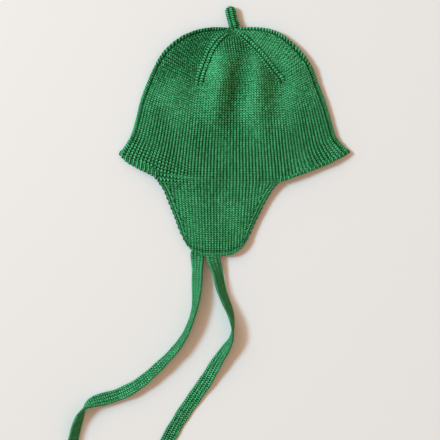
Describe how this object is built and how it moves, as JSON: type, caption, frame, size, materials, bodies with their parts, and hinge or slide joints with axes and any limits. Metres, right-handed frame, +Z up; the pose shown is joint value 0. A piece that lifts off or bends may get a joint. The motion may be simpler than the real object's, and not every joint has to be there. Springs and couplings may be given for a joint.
{
  "type": "baby bonnet",
  "caption": "Knitted baby bonnet lying flat, with a round crown, a flared ribbed brim, two ear flaps one over the other, a stalk on top and long flat ties.",
  "frame": {"origin": "on the table, under the middle of the bonnet without its ties", "axes": "+X right across the flattened bonnet, +Y from the ear flaps to the stem, +Z up from the table"},
  "size_m": [0.2825, 0.4431, 0.0178],
  "materials": {
    "ribbed_knit": "matte fine-gauge ribbed wool knit",
    "edge_knit": "matte cast-off and decrease stitches of the same yarn",
    "tie_knit": "matte narrow knitted tape of the same yarn"
  },
  "bodies": {
    "root": {"crown": "ribbed_knit", "brim": "ribbed_knit", "near_ear_flap": "ribbed_knit", "far_ear_flap": "ribbed_knit", "left_hem": "edge_knit", "right_hem": "edge_knit", "near_left_ridge": "edge_knit", "near_right_ridge": "edge_knit", "far_left_ridge": "edge_knit", "far_right_ridge": "edge_knit", "stem": "edge_knit", "near_tie": "tie_knit", "far_tie": "tie_knit"}
  },
  "joints": []
}
